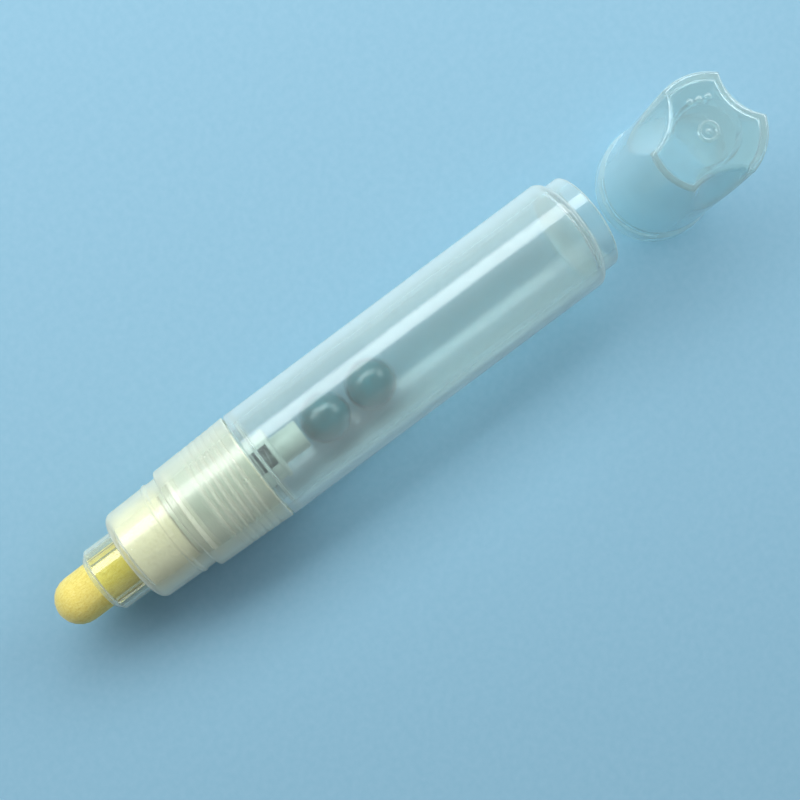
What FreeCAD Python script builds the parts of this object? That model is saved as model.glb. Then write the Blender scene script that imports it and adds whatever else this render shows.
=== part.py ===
import FreeCAD, Part
import os

import Sketcher
from FreeCAD import Placement, Rotation, Vector

# A refillable felt-tip paint marker with its cap off.  The pen lies along X with its nib
# towards -X.  The cap stands mouth down beyond the pen's tail.  Z is up and the ground is z = 0.
#
# Every outline is a list of (along, radius) corners.  On the pen, "along" runs from the nib's
# tip to the tail.  In the cap, "along" is the height above the mouth.
#
# Row frame: the origin is the middle of the whole object's box, at its bottom.

SIZES = [
    # nib
    ("nib_radius", 5.0, "felt nib"),
    ("nib_length", 29.1, "felt nib, tip to rear end"),
    ("nib_round", 4.8, "rounding of the nib's tip"),
    # sleeve that grips the nib
    ("lip_front", 9.9, "front of the sleeve's lip"),
    ("lip_hole", 5.25, "hole in the sleeve's lip"),
    ("lip_radius", 5.75, "outside of the lip at its front"),
    ("lip_back", 11.1, "where the lip's slope reaches the full sleeve"),
    ("sleeve_radius", 6.9, "nib sleeve, outside"),
    ("sleeve_bore", 6.1, "nib sleeve, inside"),
    ("rib_front", 11.3, "front end of the sleeve's ribs"),
    ("rib_width", 0.8, "width of a sleeve rib"),
    ("rib_count", 4, "ribs in the sleeve"),
    ("rib_sink", 0.1, "how far a rib is rooted in the sleeve"),
    # front body, the part that the cap goes over
    ("face_front", 17.7, "front face of the front body"),
    ("face_back", 18.9, "inside of that face"),
    ("face_round", 1.7, "rounding of the front body's face"),
    ("neck_front_radius", 9.75, "front body behind its rounded face"),
    ("seat_radius", 9.98, "front body near the skirt"),
    ("bead_centre", 27.5, "snap bead for the cap"),
    ("bead_half", 0.2, "half the bead's crest"),
    ("bead_foot", 0.6, "half the bead's foot"),
    ("bead_radius", 10.2, "crest of the bead"),
    ("sponge_bore", 8.75, "inside of the front body"),
    # threaded skirt
    ("skirt_front", 30.5, "front face of the skirt"),
    ("skirt_chamfer", 0.5, "chamfer round the front of the skirt"),
    ("skirt_front_radius", 11.05, "skirt at its front"),
    ("skirt_back", 47.2, "rear end of the skirt"),
    ("skirt_back_radius", 11.6, "skirt at its rear"),
    ("skirt_step", 31.9, "inner step that presses on the gasket"),
    ("skirt_bore", 10.45, "inside of the skirt"),
    # thread
    ("pitch", 1.6, "thread pitch"),
    ("core_radius", 9.65, "neck under its thread"),
    ("outer_crest", 10.2, "crest of the neck's thread"),
    ("inner_crest", 9.9, "crest of the skirt's thread"),
    ("root_half", 0.45, "half a thread ridge at its root"),
    ("crest_half", 0.15, "half a thread ridge at its crest"),
    ("root_sink", 0.05, "how far a ridge is rooted in its wall"),
    ("outer_start", 36.2, "first ridge of the neck's thread"),
    ("outer_run", 8.6, "length of the neck's thread"),
    ("inner_start", 37.0, "first ridge of the skirt's thread"),
    ("inner_run", 8.0, "length of the skirt's thread"),
    # barrel
    ("neck_front", 33.6, "front rim of the barrel's neck"),
    ("neck_bore", 8.35, "inside of the neck"),
    ("neck_chamfer", 0.4, "chamfer round the neck's rim"),
    ("barrel_front", 47.65, "shoulder that the skirt closes against"),
    ("barrel_radius", 11.65, "barrel, outside"),
    ("barrel_bore", 10.35, "reservoir, inside"),
    ("bore_front", 49.0, "front end of the reservoir"),
    ("bore_round", 1.0, "rounding of the reservoir's corners"),
    ("floor_front", 121.1, "inside of the barrel's floor"),
    ("floor_back", 122.4, "outside of the barrel's floor"),
    ("shoulder_back", 122.3, "tail shoulder"),
    ("shoulder_round", 1.5, "rounding of the tail shoulder"),
    ("spigot_radius", 10.0, "tail spigot that the cap is pushed on"),
    ("spigot_back", 126.0, "tail end"),
    ("spigot_bore", 8.8, "recess in the tail"),
    ("rim_round", 0.45, "rounding of small rims"),
    # buffer sponge
    ("sponge_front", 19.0, "front of the buffer sponge"),
    ("sponge_back", 29.2, "rear of the buffer sponge"),
    ("sponge_radius", 8.6, "buffer sponge, outside"),
    ("sponge_hole", 5.2, "buffer sponge, round the nib"),
    # valve housing and gasket
    ("collar_front", 29.4, "front of the housing's collar"),
    ("collar_radius", 8.4, "collar, outside"),
    ("collar_bore", 7.0, "collar, inside"),
    ("gasket_front", 31.95, "front of the gasket"),
    ("gasket_radius", 9.6, "gasket, outside"),
    ("gasket_hole", 8.45, "gasket, inside"),
    ("flange_front", 32.75, "front of the housing's flange"),
    ("flange_radius", 9.6, "housing flange"),
    ("flange_back", 33.55, "rear of the housing's flange"),
    ("plug_radius", 8.3, "housing inside the neck"),
    ("plug_back", 38.0, "rear of that plug"),
    ("funnel_back", 36.0, "bottom of the collar's hollow"),
    ("seat_back", 37.6, "valve seat"),
    ("seat_hole", 2.4, "hole in the valve seat"),
    ("cage_radius", 5.45, "spring cage, outside"),
    ("cage_bore", 4.4, "spring cage, inside"),
    ("cage_back", 51.2, "rear of the spring cage"),
    ("window_front", 48.0, "front of the cage's windows"),
    ("window_half", 2.2, "half the width of a window"),
    # end cap with its guide tube
    ("cap_disc_back", 52.1, "rear of the end cap's disc"),
    ("cap_disc_chamfer", 0.4, "chamfer round that disc"),
    ("guide_radius", 3.0, "guide tube, outside"),
    ("guide_bore", 2.2, "guide tube, inside"),
    ("guide_back", 58.1, "rear of the guide tube"),
    # plunger
    ("pin_front", 29.15, "front of the plunger's pin"),
    ("pin_radius", 1.8, "plunger's pin"),
    ("cone_front", 37.3, "front of the sealing cone"),
    ("cone_back", 38.3, "rear of the sealing cone"),
    ("cone_radius", 3.6, "sealing cone at its rear"),
    ("head_radius", 3.9, "plunger's head"),
    ("head_back", 39.6, "rear of the head"),
    ("rod_radius", 2.0, "rear rod"),
    ("rod_back", 55.2, "rear end of the rod"),
    # spring
    ("spring_front", 39.7, "front of the spring"),
    ("spring_back", 51.1, "rear of the spring"),
    ("wire_radius", 0.3, "spring wire"),
    ("coil_radius", 3.1, "middle of the spring's coil"),
    ("coil_pitch", 1.45, "distance between turns"),
    # mixing balls
    ("ball_radius", 5.2, "mixing ball"),
    ("front_ball_along", 63.5, "middle of the front ball"),
    ("rear_ball_along", 74.6, "middle of the rear ball"),
    ("ball_gap", 0.12, "from a ball to the wall it lies on"),
    # cap
    ("cap_along", 145.1, "the cap's axis, from the nib's tip"),
    ("cap_aside", 1.5, "the cap's axis, from the pen's axis"),
    ("cap_height", 33.7, "cap"),
    ("cap_rim_radius", 11.65, "rim band"),
    ("cap_rim_top", 3.5, "top of the rim band"),
    ("cap_step_top", 5.5, "top of the sloping step"),
    ("cap_low_radius", 11.0, "body above the step"),
    ("cap_top_radius", 10.6, "body at the top"),
    ("cap_top_round", 0.9, "rounding of the top's edge"),
    ("mouth_radius", 10.35, "flared mouth"),
    ("mouth_depth", 0.5, "height of the flare"),
    ("seat_bore", 10.15, "bore that grips the pen"),
    ("groove_low", 2.4, "snap groove, lower edge"),
    ("groove_high", 3.6, "snap groove, upper edge"),
    ("groove_radius", 10.35, "snap groove"),
    ("bore_top", 13.0, "top of the bore"),
    ("pocket_radius", 9.96, "pocket that holds the liner's flange"),
    ("ledge", 14.05, "ledge above that pocket"),
    ("cavity_low_radius", 9.75, "cavity above the ledge"),
    ("cavity_top_radius", 9.4, "cavity at its top"),
    ("cavity_top", 32.5, "underside of the top"),
    ("wall", 1.0, "wall behind a finger scoop"),
    ("scoop_radius", 9.8, "curve of a finger scoop"),
    ("scoop_depth_radius", 7.7, "a scoop cylinder's middle at the cap's top, from the axis, less its radius"),
    ("scoop_tilt", 16.0, "lean of a scoop, degrees"),
    ("scoop_length", 60.0, "length of the cylinder that cuts a scoop"),
    ("scoop_count", 3, "finger scoops"),
    ("scoop_turn", 12.0, "turn of the first scoop from +X, degrees"),
    ("gate_radius", 1.7, "moulding gate ring, outside"),
    ("gate_hole", 1.25, "moulding gate ring, inside"),
    ("gate_dot", 0.5, "dot inside the gate ring"),
    ("gate_height", 0.2, "gate ring"),
    # cap liner
    ("liner_front", 13.1, "mouth of the liner"),
    ("liner_flange", 9.91, "flange of the liner"),
    ("liner_flange_top", 14.0, "top of the flange"),
    ("liner_wide_bore", 7.0, "liner round the sleeve"),
    ("liner_wide_radius", 7.9, "the same, outside"),
    ("liner_wide_top", 20.9, "top of the wide bore"),
    ("liner_neck", 21.7, "bottom of the narrow bore"),
    ("liner_bore", 5.4, "liner round the nib"),
    ("liner_radius", 6.2, "the same, outside"),
    ("liner_bore_top", 31.6, "top of the narrow bore"),
    ("liner_top", 32.4, "top of the liner"),
]

doc = FreeCAD.newDocument("paint_marker")
sheet = doc.addObject("Spreadsheet::Sheet", "Sizes")
for row, (alias, size, note) in enumerate(SIZES, 1):
    sheet.set(f"A{row}", note)
    sheet.set(f"B{row}", str(size))
    sheet.setAlias(f"B{row}", alias)
doc.recompute()


def number(total):
    """The value of a sum of named sizes, such as 'bead_centre - bead_half'."""
    value = 0.0
    sign = 1
    for word in total.split():
        if word in ("+", "-"):
            sign = 1 if word == "+" else -1
        else:
            value += sign * (float(word) if word[0].isdigit() else sheet.get(word))
    return value


def bound(total):
    """The same sum as an expression that reads the sheet."""
    words = total.split()
    plain = [word in ("+", "-") or word[0].isdigit() for word in words]
    return " ".join(word if keep else "Sizes." + word for word, keep in zip(words, plain))


def new_body(label, placement):
    """An empty body with the node's name."""
    body = doc.addObject("PartDesign::Body", label)
    body.Label = label
    body.Placement = placement
    return body


def datum(body, role):
    """One of the body's own planes or axes."""
    return next(item for item in body.Origin.OriginFeatures if item.Role == role)


def new_sketch(body, plane="XY_Plane"):
    """An empty sketch on one of the body's own planes."""
    sketch = body.newObject("Sketcher::SketchObject", body.Label + "_outline")
    sketch.AttachmentSupport = [(datum(body, plane), "")]
    sketch.MapMode = "FlatFace"
    return sketch


def pin_point(sketch, line, corner):
    """Fix a line's first point at two sums of named sizes."""
    for kind, axis, total in (("DistanceX", -2, corner[0]), ("DistanceY", -1, corner[1])):
        if number(total) == 0:
            sketch.addConstraint(Sketcher.Constraint("PointOnObject", line, 1, axis))
        else:
            rule = Sketcher.Constraint(kind, -1, 1, line, 1, number(total))
            index = sketch.addConstraint(rule)
            sketch.setExpression(f"Constraints[{index}]", bound(total))


def outline(body, corners, plane="XY_Plane"):
    """A closed outline with straight sides through the corners."""
    sketch = new_sketch(body, plane)
    points = [Vector(number(along), number(radius), 0) for along, radius in corners]
    count = len(points)
    for line in range(count):
        sketch.addGeometry(Part.LineSegment(points[line], points[(line + 1) % count]), False)
    for line in range(count):
        joined = Sketcher.Constraint("Coincident", line, 2, (line + 1) % count, 1)
        sketch.addConstraint(joined)
    for line, corner in enumerate(corners):
        pin_point(sketch, line, corner)
    return sketch


def turned(body, corners):
    """Revolve an outline about the body's own X axis."""
    spin = body.newObject("PartDesign::Revolution", body.Label + "_turned")
    spin.Profile = outline(body, corners)
    spin.ReferenceAxis = (datum(body, "X_Axis"), [""])
    spin.Angle = 360
    doc.recompute()
    return spin


def rings(shape, places):
    """Names of the circular edges at the given (along, radius) places."""
    found = []
    for index, edge in enumerate(shape.Edges, 1):
        curve = edge.Curve
        if not isinstance(curve, Part.Circle):
            continue
        for along, radius in places:
            near = abs(curve.Center.x - number(along)) < 0.01
            if near and abs(curve.Radius - number(radius)) < 0.01:
                found.append(f"Edge{index}")
    return found


def rounded(body, places, size, kind="Fillet"):
    """Fillet or chamfer the circular edges at the given places."""
    base = body.Tip
    edge_names = rings(base.Shape, places)
    if len(edge_names) != len(places):
        raise RuntimeError(f"{body.Label}: {len(edge_names)} edges found for {places}")
    dressed = body.newObject("PartDesign::" + kind, body.Label + "_" + kind.lower())
    dressed.Base = (base, edge_names)
    dressed.setExpression("Radius" if kind == "Fillet" else "Size", bound(size))
    doc.recompute()


def ridge(body, corners, pitch, run):
    """Sweep an outline along a right-hand helix about the body's own X axis."""
    helix = body.newObject("PartDesign::AdditiveHelix", body.Label + "_helix")
    sketch = outline(body, corners)
    helix.Profile = sketch
    helix.ReferenceAxis = (sketch, ["H_Axis"])
    helix.Mode = "pitch-height-angle"
    helix.setExpression("Pitch", bound(pitch))
    helix.setExpression("Height", bound(run))
    doc.recompute()


def thread_ridge(start, foot, crest):
    """The four corners of one thread ridge, from its foot to its crest."""
    return [
        (f"{start} - root_half", foot),
        (f"{start} + root_half", foot),
        (f"{start} + crest_half", crest),
        (f"{start} - crest_half", crest),
    ]


# ---------------------------------------------------------------- places

half_length = (number("cap_along") + number("cap_rim_radius")) / 2
half_aside = number("cap_aside") / 2
axis_height = number("barrel_radius")
PEN = Placement(Vector(-half_length, half_aside, axis_height), Rotation())
STANDING = Placement(
    Vector(number("cap_along") - half_length, -half_aside, 0),
    Rotation(Vector(0, 1, 0), -90),
)


# ---------------------------------------------------------------- barrel


def make_barrel():
    """Reservoir tube with a threaded neck, a closed floor and a hollow tail spigot."""
    body = new_body("barrel", PEN)
    turned(
        body,
        [
            ("neck_front", "neck_bore"),
            ("neck_front", "core_radius"),
            ("barrel_front", "core_radius"),
            ("barrel_front", "barrel_radius"),
            ("shoulder_back", "barrel_radius"),
            ("shoulder_back", "spigot_radius"),
            ("spigot_back", "spigot_radius"),
            ("spigot_back", "spigot_bore"),
            ("floor_back", "spigot_bore"),
            ("floor_back", "0"),
            ("floor_front", "0"),
            ("floor_front", "barrel_bore"),
            ("bore_front", "barrel_bore"),
            ("bore_front", "neck_bore"),
        ],
    )
    rounded(body, [("shoulder_back", "barrel_radius")], "shoulder_round")
    rounded(body, [("spigot_back", "spigot_radius"), ("spigot_back", "spigot_bore")], "rim_round")
    rounded(body, [("floor_front", "barrel_bore"), ("bore_front", "barrel_bore")], "bore_round")
    rounded(body, [("barrel_front", "barrel_radius")], "rim_round")
    rounded(body, [("neck_front", "core_radius")], "neck_chamfer", "Chamfer")
    corners = thread_ridge("outer_start", "core_radius - root_sink", "outer_crest")
    ridge(body, corners, "pitch", "outer_run")
    return body


# ---------------------------------------------------------------- front section


def add_sleeve_ribs(body):
    """Thin ribs along the inside of the sleeve, which centre the nib and let air past it."""
    rib = body.newObject("PartDesign::Pad", "sleeve_rib")
    rib.Profile = outline(
        body,
        [
            ("rib_front", "lip_hole"),
            ("face_back", "lip_hole"),
            ("face_back", "sleeve_bore + rib_sink"),
            ("rib_front", "sleeve_bore + rib_sink"),
        ],
    )
    rib.SideType = "Symmetric"
    rib.setExpression("Length", bound("rib_width"))
    doc.recompute()
    ring = body.newObject("PartDesign::PolarPattern", "sleeve_ribs")
    ring.Originals = [rib]
    ring.Axis = (datum(body, "X_Axis"), [""])
    ring.Angle = 360
    ring.setExpression("Occurrences", bound("rib_count"))
    body.Tip = ring
    doc.recompute()


def make_front_section():
    """Nib sleeve, front body and threaded skirt, moulded as one piece."""
    body = new_body("front_section", PEN)
    turned(
        body,
        [
            ("lip_front", "lip_hole"),
            ("lip_front", "lip_radius"),
            ("lip_back", "sleeve_radius"),
            ("face_front", "sleeve_radius"),
            ("face_front", "neck_front_radius"),
            ("bead_centre - bead_foot", "seat_radius"),
            ("bead_centre - bead_half", "bead_radius"),
            ("bead_centre + bead_half", "bead_radius"),
            ("bead_centre + bead_foot", "seat_radius"),
            ("skirt_front", "seat_radius"),
            ("skirt_front", "skirt_front_radius"),
            ("skirt_back", "skirt_back_radius"),
            ("skirt_back", "skirt_bore"),
            ("skirt_step", "skirt_bore"),
            ("skirt_step", "sponge_bore"),
            ("face_back", "sponge_bore"),
            ("face_back", "sleeve_bore"),
            ("lip_back", "sleeve_bore"),
            ("lip_back", "lip_hole"),
        ],
    )
    rounded(body, [("face_front", "neck_front_radius")], "face_round")
    rounded(body, [("skirt_front", "skirt_front_radius")], "skirt_chamfer", "Chamfer")
    add_sleeve_ribs(body)
    corners = thread_ridge("inner_start", "skirt_bore + root_sink", "inner_crest")
    ridge(body, corners, "pitch", "inner_run")
    return body


# ---------------------------------------------------------------- nib and sponge


def make_nib():
    """Round felt rod with a bullet tip."""
    body = new_body("nib", PEN)
    turned(body, [("0", "0"), ("0", "nib_radius"), ("nib_length", "nib_radius"), ("nib_length", "0")])
    rounded(body, [("0", "nib_radius")], "nib_round")
    return body


def make_buffer_sponge():
    """Absorbent ring round the nib's rear part."""
    body = new_body("buffer_sponge", PEN)
    turned(
        body,
        [
            ("sponge_front", "sponge_hole"),
            ("sponge_front", "sponge_radius"),
            ("sponge_back", "sponge_radius"),
            ("sponge_back", "sponge_hole"),
        ],
    )
    return body


# ---------------------------------------------------------------- valve


def make_valve_housing():
    """Collar, flange, seat and spring cage in one moulding that is pressed into the neck."""
    body = new_body("valve_housing", PEN)
    turned(
        body,
        [
            ("collar_front", "collar_bore"),
            ("collar_front", "collar_radius"),
            ("flange_front", "collar_radius"),
            ("flange_front", "flange_radius"),
            ("flange_back", "flange_radius"),
            ("flange_back", "plug_radius"),
            ("plug_back", "plug_radius"),
            ("plug_back", "cage_radius"),
            ("cage_back", "cage_radius"),
            ("cage_back", "cage_bore"),
            ("seat_back", "cage_bore"),
            ("seat_back", "seat_hole"),
            ("funnel_back", "seat_hole"),
            ("funnel_back", "collar_bore"),
        ],
    )
    uncut = body.Tip.Shape.Volume
    window = body.newObject("PartDesign::SubtractiveBox", "cage_window")
    window.setExpression("Length", "Sizes.cage_back + 1 - Sizes.window_front")
    window.setExpression("Width", "2 * Sizes.window_half")
    window.setExpression("Height", "4 * Sizes.cage_radius")
    corner = Vector(number("window_front"), -number("window_half"), -2 * number("cage_radius"))
    window.Placement = Placement(corner, Rotation())
    doc.recompute()
    ring = body.newObject("PartDesign::PolarPattern", "cage_windows")
    ring.Originals = [window]
    ring.Axis = (datum(body, "X_Axis"), [""])
    ring.Mode = "Spacing"
    ring.Offset = 90
    ring.Occurrences = 2
    body.Tip = ring
    doc.recompute()
    wall_area = number("cage_radius - cage_bore") * 2 * number("window_half")
    if body.Tip.Shape.Volume > uncut - 3 * wall_area * number("cage_back - window_front"):
        raise RuntimeError("the cage's windows are not all cut")
    return body


def make_valve_end_cap():
    """Disc that closes the cage, with the tube that guides the plunger's rod."""
    body = new_body("valve_end_cap", PEN)
    turned(
        body,
        [
            ("cage_back", "guide_bore"),
            ("cage_back", "cage_radius"),
            ("cap_disc_back", "cage_radius"),
            ("cap_disc_back", "guide_radius"),
            ("guide_back", "guide_radius"),
            ("guide_back", "guide_bore"),
        ],
    )
    rounded(body, [("cap_disc_back", "cage_radius")], "cap_disc_chamfer", "Chamfer")
    return body


def make_valve_plunger():
    """Pin that the nib pushes, sealing cone, head and rear rod."""
    body = new_body("valve_plunger", PEN)
    turned(
        body,
        [
            ("pin_front", "0"),
            ("pin_front", "pin_radius"),
            ("cone_front", "pin_radius"),
            ("cone_back", "cone_radius"),
            ("cone_back", "head_radius"),
            ("head_back", "head_radius"),
            ("head_back", "rod_radius"),
            ("rod_back", "rod_radius"),
            ("rod_back", "0"),
        ],
    )
    return body


def make_valve_spring():
    """Steel coil spring between the plunger's head and the end cap."""
    body = new_body("valve_spring", PEN)
    sketch = new_sketch(body)
    start = Vector(number("spring_front + wire_radius"), number("coil_radius"), 0)
    wire = Part.Circle(start, Vector(0, 0, 1), number("wire_radius"))
    sketch.addGeometry(wire, False)
    limits = [
        (Sketcher.Constraint("DistanceX", -1, 1, 0, 3, start.x), "spring_front + wire_radius"),
        (Sketcher.Constraint("DistanceY", -1, 1, 0, 3, start.y), "coil_radius"),
        (Sketcher.Constraint("Radius", 0, number("wire_radius")), "wire_radius"),
    ]
    for rule, total in limits:
        index = sketch.addConstraint(rule)
        sketch.setExpression(f"Constraints[{index}]", bound(total))
    helix = body.newObject("PartDesign::AdditiveHelix", "spring_coil")
    helix.Profile = sketch
    helix.ReferenceAxis = (sketch, ["H_Axis"])
    helix.Mode = "pitch-height-angle"
    helix.setExpression("Pitch", bound("coil_pitch"))
    helix.setExpression("Height", bound("spring_back - spring_front - wire_radius - wire_radius"))
    doc.recompute()
    return body


def make_neck_gasket():
    """Flat soft ring between the front section's step and the housing's flange."""
    body = new_body("neck_gasket", PEN)
    turned(
        body,
        [
            ("gasket_front", "gasket_hole"),
            ("gasket_front", "gasket_radius"),
            ("flange_front", "gasket_radius"),
            ("flange_front", "gasket_hole"),
        ],
    )
    return body


# ---------------------------------------------------------------- mixing balls


def make_ball(label, along):
    """Glass ball lying on the bottom of the reservoir."""
    ball = doc.addObject("Part::Sphere", label)
    ball.Label = label
    ball.setExpression("Radius", bound("ball_radius"))
    low = number("barrel_radius - barrel_bore + ball_gap + ball_radius")
    ball.Placement = Placement(Vector(number(along) - half_length, half_aside, low), Rotation())
    return ball


# ---------------------------------------------------------------- cap


def scoop_cutters(name, radius):
    """Leaning cylinders round the cap's axis, one for each finger scoop."""
    lean = number("scoop_tilt")
    reach = number("scoop_depth_radius + scoop_radius")
    cutters = []
    for index in range(int(number("scoop_count"))):
        turn = number("scoop_turn") + index * 360 / number("scoop_count")
        cutter = doc.addObject("Part::Cylinder", f"{name}_{index + 1}")
        cutter.setExpression("Radius", radius)
        cutter.setExpression("Height", "Sizes.scoop_length")
        # The cylinder's middle lies level with the cap's top, and its upper end leans inwards.
        middle = Placement(Vector(0, 0, -number("scoop_length") / 2), Rotation())
        leaned = Placement(Vector(reach, 0, number("cap_height")), Rotation(Vector(0, 1, 0), -lean))
        turned_round = Placement(Vector(0, 0, 0), Rotation(Vector(0, 0, 1), turn))
        laid = Placement(Vector(0, 0, 0), Rotation(Vector(0, 1, 0), 90))
        cutter.Placement = laid * turned_round * leaned * middle
        cutters.append(cutter)
    fused = doc.addObject("Part::MultiFuse", name)
    fused.Shapes = cutters
    return fused


def cut(name, base, tool):
    """One solid less another."""
    result = doc.addObject("Part::Cut", name)
    result.Base = base
    result.Tool = tool
    return result


def make_cap_shell():
    """Thin cap with a rim band and finger scoops whose inside follows their outside."""
    here = Placement()
    outside = new_body("cap_outside", here)
    turned(
        outside,
        [
            ("0", "0"),
            ("0", "cap_rim_radius"),
            ("cap_rim_top", "cap_rim_radius"),
            ("cap_step_top", "cap_low_radius"),
            ("cap_height", "cap_top_radius"),
            ("cap_height", "0"),
        ],
    )
    rounded(outside, [("cap_height", "cap_top_radius")], "cap_top_round")
    gate = new_body("cap_gate", here)
    turned(
        gate,
        [
            ("cap_height - gate_height", "gate_hole"),
            ("cap_height - gate_height", "gate_radius"),
            ("cap_height + gate_height", "gate_radius"),
            ("cap_height + gate_height", "gate_hole"),
        ],
    )
    dot = new_body("cap_gate_dot", here)
    turned(
        dot,
        [
            ("cap_height - gate_height", "0"),
            ("cap_height - gate_height", "gate_dot"),
            ("cap_height + gate_height", "gate_dot"),
            ("cap_height + gate_height", "0"),
        ],
    )
    inside = new_body("cap_inside", here)
    turned(
        inside,
        [
            ("0", "0"),
            ("0", "mouth_radius"),
            ("mouth_depth", "seat_bore"),
            ("groove_low", "seat_bore"),
            ("groove_low", "groove_radius"),
            ("groove_high", "groove_radius"),
            ("groove_high", "seat_bore"),
            ("bore_top", "seat_bore"),
            ("bore_top", "pocket_radius"),
            ("ledge", "pocket_radius"),
            ("ledge", "cavity_low_radius"),
            ("cavity_top", "cavity_top_radius"),
            ("cavity_top", "0"),
        ],
    )
    scooped = cut("cap_scooped", outside, scoop_cutters("scoop", "Sizes.scoop_radius"))
    spared = scoop_cutters("scoop_wall", "Sizes.scoop_radius + Sizes.wall")
    hollow = cut("cap_hollow", inside, spared)
    walled = cut("cap_walled", scooped, hollow)
    shell = doc.addObject("Part::MultiFuse", "cap_shell")
    shell.Label = "cap_shell"
    shell.Shapes = [walled, gate, dot]
    shell.Placement = STANDING
    doc.recompute()
    return shell


def make_cap_liner():
    """Soft inner cap that closes round the sleeve and the nib."""
    body = new_body("cap_liner", STANDING)
    turned(
        body,
        [
            ("liner_front", "liner_wide_bore"),
            ("liner_front", "liner_flange"),
            ("liner_flange_top", "liner_flange"),
            ("liner_flange_top", "liner_wide_radius"),
            ("liner_wide_top", "liner_wide_radius"),
            ("liner_neck", "liner_radius"),
            ("liner_top", "liner_radius"),
            ("liner_top", "0"),
            ("liner_bore_top", "0"),
            ("liner_bore_top", "liner_bore"),
            ("liner_neck", "liner_bore"),
            ("liner_wide_top", "liner_wide_bore"),
        ],
    )
    return body


# ---------------------------------------------------------------- build and export

nodes = [
    make_barrel(),
    make_front_section(),
    make_nib(),
    make_buffer_sponge(),
    make_neck_gasket(),
    make_valve_housing(),
    make_valve_plunger(),
    make_valve_spring(),
    make_valve_end_cap(),
    make_ball("mixing_ball_front", "front_ball_along"),
    make_ball("mixing_ball_rear", "rear_ball_along"),
    make_cap_shell(),
    make_cap_liner(),
]
doc.recompute()

for item in doc.Objects:
    if "Invalid" in item.State or "Error" in item.State:
        raise RuntimeError(f"{item.Label} failed: {item.State}")
for node in nodes:
    if node.Shape.isNull() or not node.Shape.isValid() or not node.Shape.Solids:
        raise RuntimeError(f"{node.Label} has no valid solid")

os.makedirs("parts", exist_ok=True)
for node in nodes:
    node.Shape.exportStep(f"parts/{node.Label}.step")
    box = node.Shape.BoundBox
    print(
        f"{node.Label:18s} solids {len(node.Shape.Solids)} volume {node.Shape.Volume:9.1f}",
        f"x {box.XMin:8.2f} {box.XMax:8.2f} y {box.YMin:7.2f} {box.YMax:7.2f}",
        f"z {box.ZMin:7.2f} {box.ZMax:7.2f}",
    )
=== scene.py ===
import math

import bmesh
import bpy
from mathutils import Matrix, Vector, noise


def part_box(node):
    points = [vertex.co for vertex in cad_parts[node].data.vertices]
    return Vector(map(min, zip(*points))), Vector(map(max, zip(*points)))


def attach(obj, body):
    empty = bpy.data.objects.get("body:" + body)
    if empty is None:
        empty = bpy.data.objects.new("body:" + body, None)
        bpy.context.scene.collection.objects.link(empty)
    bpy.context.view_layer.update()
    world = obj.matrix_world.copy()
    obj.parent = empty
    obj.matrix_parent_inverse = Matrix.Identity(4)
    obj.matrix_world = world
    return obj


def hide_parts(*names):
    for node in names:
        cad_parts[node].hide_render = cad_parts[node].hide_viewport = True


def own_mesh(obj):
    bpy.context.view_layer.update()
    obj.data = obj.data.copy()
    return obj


# A refillable felt-tip paint marker lying on its side, with its cap standing beyond the tail.
# Lengths in the outlines are millimetres.  "Along" runs from the nib's tip to the tail on the
# pen, and upwards from the mouth in the cap.  Everything is placed from the CAD frame's boxes.

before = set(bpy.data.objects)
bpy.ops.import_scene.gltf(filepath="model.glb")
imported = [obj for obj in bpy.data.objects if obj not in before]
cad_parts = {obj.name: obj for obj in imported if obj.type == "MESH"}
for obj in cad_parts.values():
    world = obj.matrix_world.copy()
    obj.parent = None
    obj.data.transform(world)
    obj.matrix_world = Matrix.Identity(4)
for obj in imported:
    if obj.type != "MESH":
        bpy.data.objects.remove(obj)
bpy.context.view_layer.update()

MM = 0.001
TURN = 2 * math.pi
SEGMENTS = 240
SHARP = math.radians(38)  # edges that turn by more than this are shaded as edges

nib_low, nib_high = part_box("nib")
barrel_low, barrel_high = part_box("barrel")
cap_low, cap_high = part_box("cap_shell")
barrel_middle = (barrel_low + barrel_high) / 2
cap_middle = (cap_low + cap_high) / 2
PEN_TIP = Vector((nib_low.x, barrel_middle.y, barrel_middle.z))
CAP_FOOT = Vector((cap_middle.x, cap_middle.y, 0))

# Pen frame: along is +X, and angle 0 points up.  Cap frame: along is +Z, and angle 0 is +X.
PEN = Matrix.Translation(PEN_TIP) @ Matrix(((1, 0, 0), (0, 0, 1), (0, 1, 0))).to_4x4()
CAP = Matrix.Translation(CAP_FOOT) @ Matrix(((0, 1, 0), (0, 0, 1), (1, 0, 0))).to_4x4()

# thread
PITCH = 1.6
CORE = 9.65
OUTER_CREST = 10.2
SKIRT_BORE = 10.45
INNER_CREST = 9.9
OUTER_THREAD = (35.75, 45.25)
INNER_THREAD = (36.55, 45.45)
OUTER_PHASE = 36.2
INNER_PHASE = 37.0
RIDGE_ROOT = 0.45
RIDGE_CREST = 0.15
THREAD_FADE = 0.4
SKIRT_FRONT_RADIUS = 11.05
SINK_DEPTH = 0.07

# sleeve ribs
SLEEVE_BORE = 6.1
LIP_HOLE = 5.25
RIB_COUNT = 4
RIB_TURN = math.radians(38)
RIB_HALF = 0.45
RIB_SLOPE = 0.2
RIB_HEIGHT = SLEEVE_BORE - LIP_HOLE - 0.05
RIB_FRONT = 11.2

# cap
CAP_HEIGHT = 33.7
CAP_CEILING = 32.5
CAP_LEDGE = 14.05
CAP_STEP = 5.5
CAP_OUTSIDE = 11.0
CAP_INSIDE = 9.75
SCOOPS = 3
SCOOP_TURN = math.radians(12)
SCOOP_RADIUS = 9.8
SCOOP_NEAR = 7.3
SCOOP_LEAN = math.radians(16)
SCOOP_WALL = 1.0
SCOOP_BLEND = 0.35
NO_SCOOP = 99.0


# ---------------------------------------------------------------- mesh helpers


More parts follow.
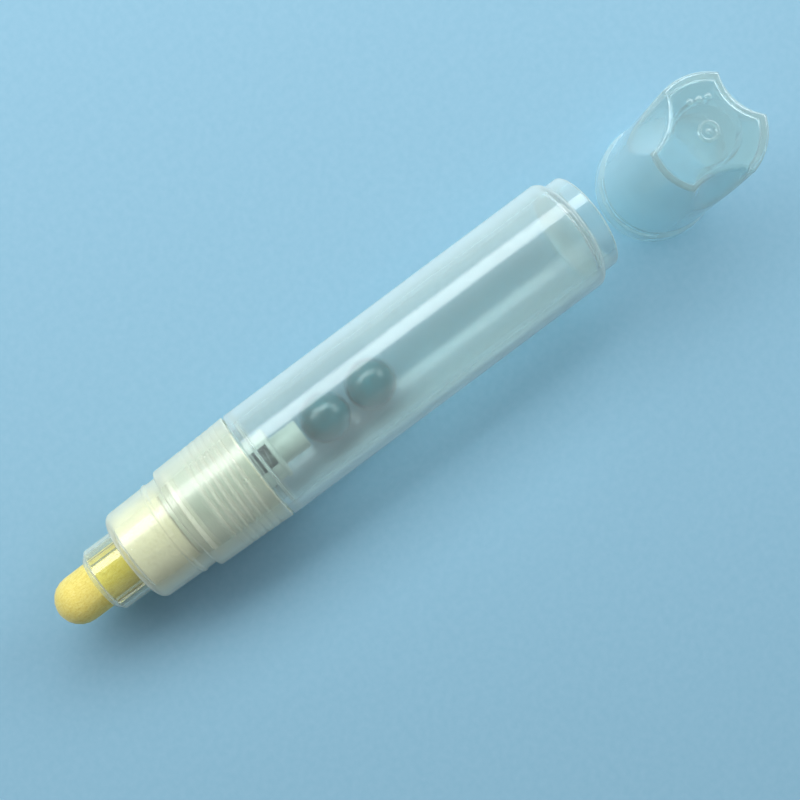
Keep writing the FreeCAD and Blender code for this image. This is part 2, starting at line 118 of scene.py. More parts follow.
def arc(before, corner, after, radius, steps=6):
    """Points that round one corner of an outline."""
    one = (before - corner).normalized()
    two = (after - corner).normalized()
    half = one.angle(two) / 2
    room = min((before - corner).length, (after - corner).length) * 0.98
    reach = min(radius / math.tan(half), room)
    radius = reach * math.tan(half)
    middle = corner + (one + two).normalized() * (radius / math.sin(half))
    start = corner + one * reach - middle
    sweep = math.pi - 2 * half
    side = 1 if start.x * (two.y - one.y) - start.y * (two.x - one.x) > 0 else -1
    points = []
    for step in range(steps + 1):
        angle = side * sweep * step / steps
        cos, sin = math.cos(angle), math.sin(angle)
        turned = (start.x * cos - start.y * sin, start.x * sin + start.y * cos)
        points.append(middle + Vector(turned))
    return points


def outline(corners):
    """A closed loop of points from (along, radius, rounding, steps to the next corner).

    The rounding may be left out, and is then 0.  So may the steps, which are then 1.
    """
    full = [tuple(corner) + (0, 1)[len(corner) - 2:] for corner in corners]
    spots = [Vector(corner[:2]) for corner in full]
    loop = []
    for index, (along, radius, rounding, steps) in enumerate(full):
        here, after = spots[index], spots[(index + 1) % len(spots)]
        if rounding:
            loop += arc(spots[index - 1], here, after, rounding)
        else:
            loop.append(here)
        for step in range(1, steps):
            loop.append(loop[-1].lerp(after, 1 / (steps - step + 1)))
    return loop


def mesh_object(name, verts, faces, place):
    """A smooth-shaded object made from vertices in millimetres and faces."""
    mesh = bpy.data.meshes.new(name)
    mesh.from_pydata([place @ (Vector(v) * MM) for v in verts], [], faces)
    tool = bmesh.new()
    tool.from_mesh(mesh)
    bmesh.ops.remove_doubles(tool, verts=tool.verts, dist=1e-7)
    bmesh.ops.recalc_face_normals(tool, faces=tool.faces)
    tool.to_mesh(mesh)
    tool.free()
    mesh.shade_smooth()
    mesh.set_sharp_from_angle(angle=SHARP)
    obj = bpy.data.objects.new(name, mesh)
    bpy.context.collection.objects.link(obj)
    return obj


def skin(low, high):
    """Faces between two rings of vertex numbers; a ring on the axis repeats one number."""
    faces = []
    for step in range(len(low)):
        ahead = (step + 1) % len(low)
        face = [low[step], low[ahead], high[ahead], high[step]]
        face = [v for at, v in enumerate(face) if v != face[at - 1]]
        if len(face) > 2:
            faces.append(face)
    return faces


def lathe(name, corners, place, shape=None, segments=SEGMENTS):
    """Turn an outline about the along axis; shape may move each point by its angle."""
    loop = outline(corners)
    open_ends = loop[0].y == 0 and loop[-1].y == 0
    verts, rings = [], []
    for point in loop:
        if point.y < 1e-6:
            rings.append([len(verts)] * segments)
            verts.append((point.x, 0, 0))
            continue
        ring = []
        for step in range(segments):
            angle = TURN * step / segments
            along, radius = shape(point.x, point.y, angle) if shape else point
            ring.append(len(verts))
            verts.append((along, radius * math.cos(angle), radius * math.sin(angle)))
        rings.append(ring)
    faces = []
    count = len(rings) - 1 if open_ends else len(rings)
    for index in range(count):
        faces += skin(rings[index], rings[(index + 1) % len(rings)])
    return mesh_object(name, verts, faces, place)


def tube(name, path, radius, place, sides=16):
    """A round wire along a path, with closed ends."""
    verts, faces = [], []
    for index, point in enumerate(path):
        before, after = path[max(index - 1, 0)], path[min(index + 1, len(path) - 1)]
        ahead = (after - before).normalized()
        out = Vector((0, point.y, point.z)).normalized()
        across = ahead.cross(out).normalized()
        out = across.cross(ahead)
        for side in range(sides):
            angle = TURN * side / sides
            verts.append(point + (out * math.cos(angle) + across * math.sin(angle)) * radius)
    for index in range(len(path) - 1):
        near, far = index * sides, (index + 1) * sides
        for side in range(sides):
            ahead = (side + 1) % sides
            faces.append([near + side, near + ahead, far + ahead, far + side])
    faces.append(list(range(sides)))
    faces.append([len(verts) - sides + side for side in range(sides)])
    return mesh_object(name, verts, faces, place)


def join(main, *others):
    """Add other objects' meshes to the first object."""
    whole = bmesh.new()
    for obj in (main, *others):
        whole.from_mesh(obj.data)
    whole.to_mesh(main.data)
    whole.free()
    for obj in others:
        bpy.data.objects.remove(obj)
    return main


def carve(main, cutter):
    """Cut one object out of another and drop the cutter."""
    cut = main.modifiers.new("cut", "BOOLEAN")
    cut.object = cutter
    cut.solver = "EXACT"
    depsgraph = bpy.context.evaluated_depsgraph_get()
    carved = bpy.data.meshes.new_from_object(main.evaluated_get(depsgraph))
    main.modifiers.clear()
    main.data = carved
    main.data.shade_smooth()
    main.data.set_sharp_from_angle(angle=SHARP)
    bpy.data.objects.remove(cutter)
    return main


def block(name, low, high, place):
    """A plain block, used only to cut with."""
    ends = list(zip(low, high))
    verts = [(x, y, z) for x in ends[0] for y in ends[1] for z in ends[2]]
    faces = [(0, 1, 3, 2), (4, 6, 7, 5), (0, 4, 5, 1), (2, 3, 7, 6), (0, 2, 6, 4), (1, 5, 7, 3)]
    return mesh_object(name, verts, faces, place)


def ease(value):
    """Smooth 0 to 1."""
    value = min(max(value, 0.0), 1.0)
    return value * value * (3 - 2 * value)


# ---------------------------------------------------------------- materials


class Paint:
    """A node material with its principled shader and short ways to add texture nodes."""

    def __init__(self, name, color, roughness):
        self.material = bpy.data.materials.new(name)
        self.material.use_nodes = True
        self.nodes = self.material.node_tree.nodes
        self.links = self.material.node_tree.links
        self.shader = self.nodes["Principled BSDF"]
        self.shader.inputs["Base Color"].default_value = (*color, 1)
        self.shader.inputs["Roughness"].default_value = roughness
        self.place = self.nodes.new("ShaderNodeTexCoord").outputs["Object"]

    def put(self, socket, value):
        """Set a plain value on the shader."""
        self.shader.inputs[socket].default_value = value

    def stretch(self, scale):
        """Object coordinates stretched by a scale per axis."""
        node = self.nodes.new("ShaderNodeMapping")
        node.inputs["Scale"].default_value = scale
        self.links.new(self.place, node.inputs["Vector"])
        return node.outputs["Vector"]

    def clouds(self, scale, detail=3.0, rough=0.5, vector=None):
        """Noise texture."""
        node = self.nodes.new("ShaderNodeTexNoise")
        node.inputs["Scale"].default_value = scale
        node.inputs["Detail"].default_value = detail
        node.inputs["Roughness"].default_value = rough
        self.links.new(vector or self.place, node.inputs["Vector"])
        return node.outputs["Fac"]

    def cells(self, scale):
        """Voronoi texture's distance."""
        node = self.nodes.new("ShaderNodeTexVoronoi")
        node.inputs["Scale"].default_value = scale
        self.links.new(self.place, node.inputs["Vector"])
        return node.outputs["Distance"]

    def ramp(self, value, stops):
        """Colour ramp through (position, colour) stops."""
        node = self.nodes.new("ShaderNodeValToRGB")
        while len(node.color_ramp.elements) < len(stops):
            node.color_ramp.elements.new(0.5)
        for element, (position, color) in zip(node.color_ramp.elements, stops):
            element.position = position
            element.color = (*color, 1)
        self.links.new(value, node.inputs["Fac"])
        return node.outputs["Color"]

    def span(self, value, low, high, from_low=0.0, from_high=1.0):
        """Map a value to a range."""
        node = self.nodes.new("ShaderNodeMapRange")
        node.inputs["From Min"].default_value = from_low
        node.inputs["From Max"].default_value = from_high
        node.inputs["To Min"].default_value = low
        node.inputs["To Max"].default_value = high
        self.links.new(value, node.inputs["Value"])
        return node.outputs["Result"]

    def sum(self, one, two, kind="ADD"):
        """Two values added or multiplied."""
        node = self.nodes.new("ShaderNodeMath")
        node.operation = kind
        self.links.new(one, node.inputs[0])
        self.links.new(two, node.inputs[1])
        return node.outputs["Value"]

    def along(self):
        """Place along X, in metres."""
        node = self.nodes.new("ShaderNodeSeparateXYZ")
        self.links.new(self.place, node.inputs["Vector"])
        return node.outputs["X"]

    def facing(self, blend):
        """0 where the surface faces the viewer and 1 at a grazing angle."""
        node = self.nodes.new("ShaderNodeLayerWeight")
        node.inputs["Blend"].default_value = blend
        return node.outputs["Facing"]

    def wire(self, socket, value):
        """Link a value to the shader."""
        self.links.new(value, self.shader.inputs[socket])

    def bump(self, value, distance, strength=1.0):
        """Bump the surface by a height in metres."""
        node = self.nodes.new("ShaderNodeBump")
        node.inputs["Distance"].default_value = distance
        node.inputs["Strength"].default_value = strength
        self.links.new(value, node.inputs["Height"])
        self.links.new(node.outputs["Normal"], self.shader.inputs["Normal"])

    def pass_light(self, share):
        """Let a share of the lamps' light straight through, as a thin clear wall does."""
        path = self.nodes.new("ShaderNodeLightPath")
        through = self.nodes.new("ShaderNodeBsdfTransparent")
        through.inputs["Color"].default_value = (share * 0.97, share, share, 1)
        mix = self.nodes.new("ShaderNodeMixShader")
        self.links.new(path.outputs["Is Shadow Ray"], mix.inputs[0])
        self.links.new(self.shader.outputs["BSDF"], mix.inputs[1])
        self.links.new(through.outputs["BSDF"], mix.inputs[2])
        self.links.new(mix.outputs["Shader"], self.nodes["Material Output"].inputs["Surface"])


def clear_plastic(
    name, color, clear, edge_clear, roughness, gloss, passed, bend=1.49, frost_from=None
):
    """Milky see-through moulding: refraction, more white scatter where it turns away, and gloss.

    clear and edge_clear are the see-through shares face on and at the edge, gloss is the weight
    of the polished skin, and passed is the share of lamp light that each surface lets through.
    bend is the refractive index.  frost_from is the place along the pen where a clear, polished
    front turns milky.
    """
    paint = Paint(name, color, roughness)
    flow = paint.clouds(140, 4, 0.55, paint.stretch((0.35, 1, 1)))
    low = [channel * 0.97 for channel in color]
    paint.wire("Base Color", paint.ramp(flow, [(0.3, low), (0.7, color)]))
    rough = paint.span(paint.clouds(900, 3), roughness * 0.8, roughness * 1.25)
    veil = paint.span(paint.facing(0.4), clear, edge_clear)
    veil = paint.sum(veil, paint.span(flow, -0.03, 0.03))
    if frost_from is not None:
        edge = PEN_TIP.x + frost_from * MM
        rough = paint.sum(rough, paint.span(paint.along(), 0.3, 1.0, edge, edge + MM), "MULTIPLY")
        veil = paint.sum(veil, paint.span(paint.along(), 1.2, 1.0, edge, edge + MM), "MULTIPLY")
    paint.wire("Roughness", rough)
    paint.wire("Transmission Weight", veil)
    paint.put("IOR", bend)
    paint.put("Coat Weight", gloss)
    paint.put("Coat Roughness", 0.08)
    paint.bump(paint.clouds(500, 4, 0.6), 0.00001, 0.3)
    paint.pass_light(passed)
    return paint.material


def white_plastic():
    """Plain white moulding of the valve."""
    paint = Paint("valve_white", (0.46, 0.52, 0.46), 0.45)
    stops = [(0.3, (0.41, 0.47, 0.41)), (0.7, (0.49, 0.55, 0.49))]
    paint.wire("Base Color", paint.ramp(paint.clouds(420, 3), stops))
    paint.put("Subsurface Weight", 0.15)
    paint.put("Subsurface Radius", (0.001, 0.001, 0.001))
    paint.bump(paint.clouds(1500, 3), 0.00002, 0.3)
    return paint.material


def felt():
    """Pressed yellow felt: fine fibres along the nib, with paler and darker flecks; the darker
    flecks are painted shade in the bump's hollows as well as the felt's own random tone.
    """
    paint = Paint("nib_felt", (0.87, 0.72, 0.2), 0.9)
    fibres = paint.clouds(2600, 6, 0.7, paint.stretch((0.35, 1, 1)))
    grain = paint.clouds(3400, 4, 0.7)
    tone_and_hollow_shade = paint.sum(paint.span(fibres, 0.0, 0.5), paint.span(grain, 0.0, 0.5))
    # low values are painted darker and also sink in the bump below: painted shade in the hollows,
    # on top of the fibres' random tone
    stops = [(0.3, (0.60, 0.44, 0.05)), (0.5, (0.78, 0.66, 0.16)), (0.72, (0.86, 0.79, 0.32))]
    paint.wire("Base Color", paint.ramp(tone_and_hollow_shade, stops))
    paint.put("Sheen Weight", 0.35)
    paint.put("Sheen Roughness", 0.5)
    paint.bump(tone_and_hollow_shade, 0.00012, 0.9)
    return paint.material


def sponge():
    """Porous cream buffer; the pores are painted darker where the bump sinks, painted shade in the
    hollows, over a random cream tone.
    """
    paint = Paint("buffer_cream", (0.84, 0.81, 0.64), 0.95)
    pores = paint.cells(1500)
    clouds = paint.clouds(300, 4)
    tone_and_hollow_shade = paint.sum(paint.span(pores, 0.1, 0.7), paint.span(clouds, 0.0, 0.35))
    # the pores are dark and sink in the bump below: painted shade in the pores; the clouds add a
    # random tone
    stops = [(0.2, (0.56, 0.52, 0.33)), (0.45, (0.67, 0.64, 0.45)), (0.8, (0.73, 0.70, 0.52))]
    paint.wire("Base Color", paint.ramp(tone_and_hollow_shade, stops))
    paint.bump(tone_and_hollow_shade, 0.00015, 0.8)
    return paint.material


def steel():
    """Drawn spring wire."""
    paint = Paint("spring_steel", (0.55, 0.58, 0.58), 0.28)
    drawn = paint.clouds(1800, 4, 0.6)
    stops = [(0.35, (0.42, 0.45, 0.46)), (0.7, (0.66, 0.69, 0.69))]
    paint.wire("Base Color", paint.ramp(drawn, stops))
    paint.wire("Roughness", paint.span(drawn, 0.2, 0.4))
    paint.put("Metallic", 1.0)
    return paint.material


def ball_glass():
    """Dark green-blue glass with a polished surface."""
    paint = Paint("ball_glass", (0.03, 0.16, 0.18), 0.08)
    stops = [(0.3, (0.0, 0.08, 0.10)), (0.7, (0.0, 0.15, 0.19))]
    paint.wire("Base Color", paint.ramp(paint.clouds(160, 3), stops))
    paint.wire("Roughness", paint.span(paint.clouds(700, 3), 0.05, 0.16))
    paint.put("Coat Weight", 0.9)
    paint.put("Coat Roughness", 0.12)
    return paint.material


def gasket_rubber():
    """Soft pale ring."""
    paint = Paint("gasket_rubber", (0.75, 0.77, 0.74), 0.7)
    grain = paint.clouds(1600, 3)
    stops = [(0.3, (0.68, 0.70, 0.67)), (0.7, (0.78, 0.80, 0.77))]
    paint.wire("Base Color", paint.ramp(grain, stops))
    paint.bump(grain, 0.00002, 0.4)
    return paint.material


def floor_paper():
    """Plain pale floor."""
    paint = Paint("floor_pale", (0.24, 0.46, 0.60), 0.8)
    stops = [(0.3, (0.23, 0.45, 0.59)), (0.7, (0.25, 0.47, 0.61))]
    paint.wire("Base Color", paint.ramp(paint.clouds(700, 3), stops))
    return paint.material


PEN_PLASTIC = clear_plastic(
    "barrel_plastic", (0.77, 0.885, 0.875), 0.93, 0.30, roughness=0.12, gloss=0.0, passed=0.72
)
FRONT_PLASTIC = clear_plastic(
    "front_plastic", (0.83, 0.87, 0.76), 0.85, 0.30, roughness=0.24, gloss=0.10, passed=0.74,
    frost_from=17.2,
)
CAP_PLASTIC = clear_plastic(
    "cap_plastic", (0.66, 0.84, 0.86), 0.90, 0.40, roughness=0.14, gloss=0.25, passed=0.74
)
LINER_PLASTIC = clear_plastic(
    "liner_plastic", (0.88, 0.96, 0.97), 0.97, 0.88, roughness=0.12, gloss=0.0, passed=0.94,
    bend=1.04,
)
VALVE_WHITE = white_plastic()
FELT = felt()
SPONGE = sponge()
STEEL = steel()
BALL = ball_glass()
RUBBER = gasket_rubber()


def settle(obj, node, body, material):
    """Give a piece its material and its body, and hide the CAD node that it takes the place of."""
    obj.data.materials.clear()
    obj.data.materials.append(material)
    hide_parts(node)
    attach(obj, body)
    return obj


# ---------------------------------------------------------------- thread


def ridge(along, angle, phase, limits):
    """Height of the thread's ridge, 0 to 1, at a place on the screw."""
    turned = along - phase - PITCH * angle / TURN
    off = abs((turned + PITCH / 2) % PITCH - PITCH / 2)
    height = ease((RIDGE_ROOT - off) / (RIDGE_ROOT - RIDGE_CREST))
    fade = min(ease((along - limits[0]) / THREAD_FADE), ease((limits[1] - along) / THREAD_FADE))
    return height * fade


def on(surface, radius):
    """Whether a point of the outline lies on the surface that has this radius."""
    return abs(radius - surface) < 0.01


def neck_shape(along, radius, angle):
    """Raise the neck's thread on its core."""
    if on(CORE, radius) and OUTER_THREAD[0] < along < OUTER_THREAD[1]:
        radius += (OUTER_CREST - CORE) * ridge(along, angle, OUTER_PHASE, OUTER_THREAD)
    return along, radius


def section_shape(along, radius, angle):
    """Raise the skirt's inner thread and the sleeve's ribs, and sink the skirt over the thread."""
    if on(SKIRT_BORE, radius) and INNER_THREAD[0] < along < INNER_THREAD[1]:
        radius -= (SKIRT_BORE - INNER_CREST) * ridge(along, angle, INNER_PHASE, INNER_THREAD)
    if radius > SKIRT_FRONT_RADIUS and INNER_THREAD[0] < along < INNER_THREAD[1]:
        radius -= SINK_DEPTH * ridge(along, angle, INNER_PHASE, INNER_THREAD)
    if on(SLEEVE_BORE, radius) and along > RIB_FRONT:
        spacing = TURN / RIB_COUNT
        off = abs((angle - RIB_TURN + spacing / 2) % spacing - spacing / 2) * radius
        radius -= RIB_HEIGHT * ease((RIB_HALF - off) / RIB_SLOPE + 0.5)
    return along, radius


# ---------------------------------------------------------------- pen


def make_barrel():
    """Reservoir tube, threaded neck and hollow tail spigot."""
    corners = [
        (33.6, 8.35, 0.15),
        (33.6, CORE, 0.4),
        (35.4, CORE, 0, 100),
        (45.6, CORE),
        (47.65, CORE, 0.25),
        (47.65, 11.64, 0.4),
        (122.3, 11.64, 1.5),
        (122.3, 10.0, 0.2),
        (126.0, 10.0, 0.5),
        (126.0, 8.8, 0.45),
        (122.4, 8.8, 0.6),
        (122.4, 0),
        (121.1, 0),
        (121.1, 10.35, 1.0),
        (49.0, 10.35, 1.0),
        (49.0, 8.35, 0.25),
    ]
    # the loop starts and ends on the axis so that the floor at the tail closes
    start = corners.index((121.1, 0))
    barrel = lathe("barrel_tube", corners[start:] + corners[:start], PEN, neck_shape)
    return settle(barrel, "barrel", "barrel", PEN_PLASTIC)


def make_front_section():
    """Nib sleeve, front body and threaded skirt."""
    corners = [
        (9.9, LIP_HOLE, 0.15),
        (9.9, 5.75, 0.2),
        (11.1, 6.9, 0.5),
        (17.7, 6.9, 0.15),
        (17.7, 9.75, 1.7),
        (26.9, 9.97, 0.3),
        (27.3, 10.2, 0.2),
        (27.7, 10.2, 0.2),
        (28.1, 9.98, 0.3),
        (30.5, 9.98, 0.1),
        (30.5, SKIRT_FRONT_RADIUS, 0.55, 170),
        (47.4, 11.6, 0.45),
        (47.4, SKIRT_BORE, 0.35),
        (46.0, SKIRT_BORE, 0, 100),
        (36.0, SKIRT_BORE),
        (31.9, SKIRT_BORE, 0.2),
        (31.9, 8.75, 0.2),
        (18.9, 8.75, 0.5),
        (18.9, SLEEVE_BORE, 0.15),
        (18.7, SLEEVE_BORE, 0, 3),
        (11.5, SLEEVE_BORE, 0, 3),
        (11.15, SLEEVE_BORE),
        (11.1, LIP_HOLE, 0.1),
    ]
    section = lathe("front_section_body", corners, PEN, section_shape)
    return settle(section, "front_section", "front", FRONT_PLASTIC)


def make_nib():
    """Felt bullet with a slightly fuzzy surface."""
    corners = [(0, 0), (0, 5.0, 4.9), (9.0, 5.0, 0, 60), (29.1, 5.0, 0.2), (29.1, 0)]

    def fuzz(along, radius, angle):
        spot = Vector((along * 0.9, radius * math.cos(angle) * 3.2, radius * math.sin(angle) * 3.2))
        lump = noise.noise(spot * 0.35) * 0.05 + noise.noise(spot * 1.3) * 0.035
        return along, radius - 0.05 + lump

    nib = lathe("felt_nib", corners, PEN, fuzz)
    return settle(nib, "nib", "nib", FELT)


def make_sponge():
    """Porous ring round the rear of the nib."""
    corners = [
        (19.0, 5.2, 0.2),
        (19.0, 8.6, 0.5),
        (19.6, 8.6, 0, 50),
        (28.6, 8.6),
        (29.2, 8.6, 0.4),
        (29.2, 5.2, 0.2),
    ]

    def pores(along, radius, angle):
        spot = Vector((along, radius * math.cos(angle), radius * math.sin(angle)))
        return along, radius - 0.06 + noise.noise(spot * 1.9) * 0.06

    ring = lathe("buffer_ring", corners, PEN, pores)
    return settle(ring, "buffer_sponge", "sponge", SPONGE)


def make_gasket():
    """Flat ring between the step and the flange."""
    corners = [(31.95, 8.45, 0.15), (31.95, 9.6, 0.2), (32.74, 9.6, 0.2), (32.74, 8.45, 0.15)]
    ring = lathe("gasket_ring", corners, PEN)
    return settle(ring, "neck_gasket", "barrel", RUBBER)


def make_valve_housing():
    """Collar, flange, seat and windowed spring cage."""
    corners = [
        (29.4, 7.0, 0.2),
        (29.4, 8.4, 0.3),
        (32.75, 8.4, 0.1),
        (32.75, 9.6, 0.2),
        (33.55, 9.6, 0.2),
        (33.55, 8.3, 0.1),
        (38.0, 8.3, 0.5),
        (38.0, 5.45, 0.4),
        (51.2, 5.45, 0.1),
        (51.2, 4.4, 0.1),
        (37.6, 4.4, 0.2),
        (37.6, 2.4, 0.1),
        (36.0, 2.4, 0.2),
        (36.0, 7.0, 0.8),
    ]
    housing = lathe("valve_cage", corners, PEN)
    for turn in (0, 90):
        spin = PEN @ Matrix.Rotation(math.radians(turn), 4, "X")
        housing = carve(housing, block("window_cut", (48.0, -9, -2.2), (52.0, 9, 2.2), spin))
    return settle(housing, "valve_housing", "barrel", VALVE_WHITE)


def make_end_cap():
    """Disc and guide tube behind the cage."""
    corners = [
        (51.2, 2.2, 0.1),
        (51.2, 5.45, 0.1),
        (52.1, 5.45, 0.45),
        (52.1, 3.0, 0.3),
        (58.1, 3.0, 0.3),
        (58.1, 2.2, 0.1),
    ]
    cap = lathe("valve_end", corners, PEN)
    return settle(cap, "valve_end_cap", "barrel", VALVE_WHITE)


def make_plunger():
    """Pin, sealing cone, head and rod."""
    corners = [
        (29.15, 0),
        (29.15, 1.8, 0.3),
        (37.3, 1.8, 0.2),
        (38.3, 3.6, 0.1),
        (38.3, 3.9, 0.05),
        (39.6, 3.9, 0.2),
        (39.6, 2.0, 0.2),
        (55.2, 2.0, 0.3),
        (55.2, 0),
    ]
    plunger = lathe("valve_pin", corners, PEN)
    return settle(plunger, "valve_plunger", "plunger", VALVE_WHITE)


def make_spring():
    """Steel coil, squeezed by the plunger's head."""
    front, back = 40.0, 50.8
    coil, wire, turns = 3.1, 0.3, 7.4
    steps = 420
    path = []
    for step in range(steps + 1):
        share = step / steps
        angle = TURN * turns * share
        along = front + (back - front) * share
        path.append(Vector((along, coil * math.cos(angle), coil * math.sin(angle))))
    spring = tube("valve_coil", path, wire, PEN)
    settle(spring, "valve_spring", "barrel", STEEL)
    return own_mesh(spring)


def make_ball(node, body):
    """Polished mixing ball with the faint waviness of pressed glass."""
    low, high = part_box(node)
    centre = (low + high) / 2
    radius = (high.x - low.x) / 2
    waviness = 0.002
    tool = bmesh.new()
    bmesh.ops.create_icosphere(tool, subdivisions=5, radius=radius)
    for vert in tool.verts:
        vert.co *= 1 - waviness + waviness * noise.noise(vert.co * 600 + centre * 90)
        vert.co += centre
    mesh = bpy.data.meshes.new(node + "_glass")
    tool.to_mesh(mesh)
    tool.free()
    mesh.shade_smooth()
    ball = bpy.data.objects.new(node + "_glass", mesh)
    bpy.context.collection.objects.link(ball)
    return settle(ball, node, body, BALL)


# ---------------------------------------------------------------- cap


def scoop_reach(height, angle, extra):
    """Distance from the cap's axis to the nearest scoop surface, or NO_SCOOP."""
    middle = SCOOP_NEAR + SCOOP_RADIUS / math.cos(SCOOP_LEAN)
    middle += (CAP_HEIGHT - height) * math.tan(SCOOP_LEAN)
    radius = (SCOOP_RADIUS + extra) / math.cos(SCOOP_LEAN)
    spacing = TURN / SCOOPS
    off = (angle - SCOOP_TURN + spacing / 2) % spacing - spacing / 2
    inside = radius * radius - (middle * math.sin(off)) ** 2
    if inside <= 0:
        return NO_SCOOP
    return middle * math.cos(off) - math.sqrt(inside)


def smooth_min(one, two, blend):
    """The smaller of two numbers, with a rounded change from one to the other."""
    share = min(max(0.5 + 0.5 * (two - one) / blend, 0), 1)
    return two + (one - two) * share - blend * share * (1 - share)


def cap_radius_outer(height):
    """Outside of the cap's body above its step."""
    taper = 0.4
    return CAP_OUTSIDE - taper * (height - CAP_STEP) / (CAP_HEIGHT - CAP_STEP)


def cap_radius_inner(height):
    """Inside of the cap above its ledge."""
    taper = 0.35
    return CAP_INSIDE - taper * (height - CAP_LEDGE) / (CAP_CEILING - CAP_LEDGE)


def cap_mesh():
    """The cap's rings from the top's centre, down the outside, round the rim and up the inside."""
    rings = []

    def ring(height, radius_at):
        rings.append((height, radius_at))

    def edge(height, radius, wall):
        return lambda angle: smooth_min(radius, scoop_reach(height, angle, wall), SCOOP_BLEND)

    def outer_edge(height):
        return edge(height, cap_radius_outer(height), 0)

    def inner_edge(height):
        return edge(height, cap_radius_inner(height), SCOOP_WALL)

    def inset(radius_at, amount, share=1.0):
        return lambda angle: max(radius_at(angle) - amount, 0) * share

    top_round = 0.8
    for share in (0.0, 0.2, 0.4, 0.6, 0.75, 0.88):
        ring(CAP_HEIGHT, inset(outer_edge(CAP_HEIGHT), top_round, share))
    for step in range(9):
        bend = math.pi / 2 * step / 8
        height = CAP_HEIGHT - top_round * (1 - math.cos(bend))
        ring(height, inset(outer_edge(height), top_round * (1 - math.sin(bend))))
    lowest = 16.0
    count = 64
    for step in range(1, count + 1):
        height = CAP_HEIGHT - top_round + (lowest - CAP_HEIGHT + top_round) * step / count
        ring(height, outer_edge(height))
    plain = outline(
        [
            (lowest, cap_radius_outer(lowest)),
            (CAP_STEP, CAP_OUTSIDE, 0.8),
            (3.5, 11.65, 0.6),
            (0, 11.65, 0.4),
            (0, 10.35, 0.25),
            (0.5, 10.15, 0.2),
            (2.4, 10.15, 0.08),
            (2.4, 10.35, 0.08),
            (3.6, 10.35, 0.08),
            (3.6, 10.15, 0.08),
            (13.0, 10.15, 0.08),
            (13.0, 9.96, 0.05),
            (CAP_LEDGE, 9.96, 0.05),
            (CAP_LEDGE, CAP_INSIDE, 0.08),
            (lowest, cap_radius_inner(lowest)),
        ]
    )
    for point in plain[1:]:
        ring(point.x, lambda angle, radius=point.y: radius)
    under_round = 0.6
    for step in range(1, count + 1):
        height = lowest + (CAP_CEILING - under_round - lowest) * step / count
        ring(height, inner_edge(height))
    for step in range(1, 7):
        bend = math.pi / 2 * step / 6
        height = CAP_CEILING - under_round * (1 - math.sin(bend))
        ring(height, inset(inner_edge(height), under_round * (1 - math.cos(bend))))
    for share in (0.8, 0.6, 0.4, 0.2, 0.0):
        ring(CAP_CEILING, inset(inner_edge(CAP_CEILING), under_round, share))

    verts, faces, loops = [], [], []
    for height, radius_at in rings:
        loop = []
        for step in range(SEGMENTS):
            angle = TURN * step / SEGMENTS
            radius = radius_at(angle)
            if radius < 1e-6:
                if not loop:
                    loop = [len(verts)] * SEGMENTS
                    verts.append((height, 0, 0))
                break
            loop.append(len(verts))
            verts.append((height, radius * math.cos(angle), radius * math.sin(angle)))
        loops.append(loop)
    for low, high in zip(loops, loops[1:]):
        faces += skin(low, high)
    return mesh_object("cap_body", verts, faces, CAP)


def dome(low, high, radius):
    """Outline of a shallow round dot, from its flat foot to the middle of its top."""
    rise = high - low
    ball = (radius * radius + rise * rise) / (2 * rise)
    sweep = math.asin(radius / ball)
    corners = [(low, 0)]
    for step in range(9):
        bend = sweep * (1 - step / 8)
        corners.append((high - ball * (1 - math.cos(bend)), ball * math.sin(bend)))
    return corners


def make_cap_shell():
    """Cap with its gate ring, and three plain dots in place of a moulded number."""
    shell = cap_mesh()
    low, high = CAP_HEIGHT - 0.02, CAP_HEIGHT + 0.2
    ring_corners = [(low, 1.2), (low, 2.0), (high, 1.75, 0.2), (high, 1.45, 0.2)]
    extras = [
        lathe("gate_ring", ring_corners, CAP, segments=96),
        lathe("gate_dot", dome(low, high, 0.6), CAP, segments=48),
    ]
    first, spacing = Vector((0.4, 6.0, 0)), Vector((1.55, -0.55, 0))
    for index in range(3):
        spot = Matrix.Translation((first + spacing * index) * MM)
        extras.append(lathe("mark_dot", dome(low, high, 0.65), spot @ CAP, segments=32))
    join(shell, *extras)
    return settle(shell, "cap_shell", "cap", CAP_PLASTIC)


def make_liner():
    """Inner cap that closes round the sleeve and the nib."""
    corners = [
        (31.6, 0),
        (31.6, 5.4, 0.6),
        (21.7, 5.4, 0.3),
        (20.9, 7.0, 0.3),
        (13.1, 7.0, 0.2),
        (13.1, 9.91, 0.15),
        (14.0, 9.91, 0.15),
        (14.0, 7.9, 0.2),
        (20.9, 7.9, 0.4),
        (21.7, 6.2, 0.4),
        (32.4, 6.2, 0.5),
        (32.4, 0),
    ]
    liner = lathe("cap_inner", corners, CAP)
    return settle(liner, "cap_liner", "cap", LINER_PLASTIC)


make_barrel()
make_front_section()
make_nib()
make_sponge()
make_gasket()
make_valve_housing()
make_end_cap()
make_plunger()
make_spring()
make_ball("mixing_ball_front", "ball_front")
make_ball("mixing_ball_rear", "ball_rear")
make_cap_shell()
make_liner()


# ---------------------------------------------------------------- floor, light, camera


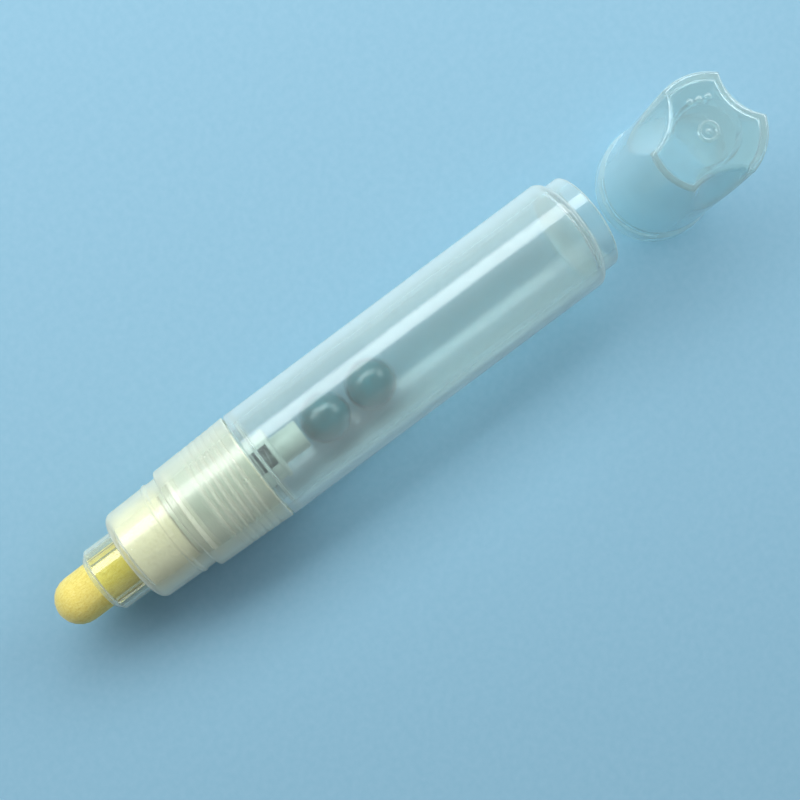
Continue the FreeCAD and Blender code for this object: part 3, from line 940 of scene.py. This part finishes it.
def make_floor():
    """Large plain floor just under the object."""
    side, level = 3.0, -0.00005
    verts = [(-side, -side, level), (side, -side, level), (side, side, level), (-side, side, level)]
    mesh = bpy.data.meshes.new("floor")
    mesh.from_pydata(verts, [], [(0, 1, 2, 3)])
    floor = bpy.data.objects.new("floor", mesh)
    floor.data.materials.append(floor_paper())
    bpy.context.collection.objects.link(floor)


LIGHT_AIM = Vector((0, 0, 0.01))


def make_light(name, place, width, depth, power):
    """Soft rectangular light aimed at the object, with its width along X."""
    light = bpy.data.lights.new(name, "AREA")
    light.shape = "RECTANGLE"
    light.size = width
    light.size_y = depth
    light.energy = power
    back = (Vector(place) - LIGHT_AIM).normalized()
    across = Vector((1, 0, 0))
    up = back.cross(across).normalized()
    across = up.cross(back)
    turn = Matrix((across, up, back)).transposed().to_4x4()
    obj = bpy.data.objects.new(name, light)
    obj.matrix_world = Matrix.Translation(Vector(place)) @ turn
    bpy.context.collection.objects.link(obj)


def make_world(strength):
    """Even soft light from all round."""
    world = bpy.data.worlds.new("studio")
    world.use_nodes = True
    shade = world.node_tree.nodes["Background"]
    shade.inputs["Color"].default_value = (0.92, 0.95, 1.0, 1)
    shade.inputs["Strength"].default_value = strength
    bpy.context.scene.world = world


def make_camera():
    """Straight down from above the pen's middle, with the pen running up to the right."""
    data = bpy.data.cameras.new("camera")
    data.lens = 49.0
    data.sensor_width = 36.0
    data.shift_x = 0.082
    data.shift_y = 0.0994
    camera = bpy.data.objects.new("camera", data)
    camera.location = PEN_TIP + Vector((57.65, -10.9, 0)) * MM
    camera.location.z = 0.221
    camera.rotation_euler = (0, 0, math.radians(-36.77))
    bpy.context.collection.objects.link(camera)
    bpy.context.scene.camera = camera


make_floor()
make_light("key", (0.0, 0.42, 0.46), 1.3, 0.28, 6.0)
make_light("fill", (0.1, -0.5, 0.5), 0.8, 0.5, 0.4)
make_light("end", (0.72, 0.1, 0.42), 0.3, 0.5, 2.8)
make_world(0.21)
make_camera()
bpy.context.scene.view_settings.view_transform = "Standard"
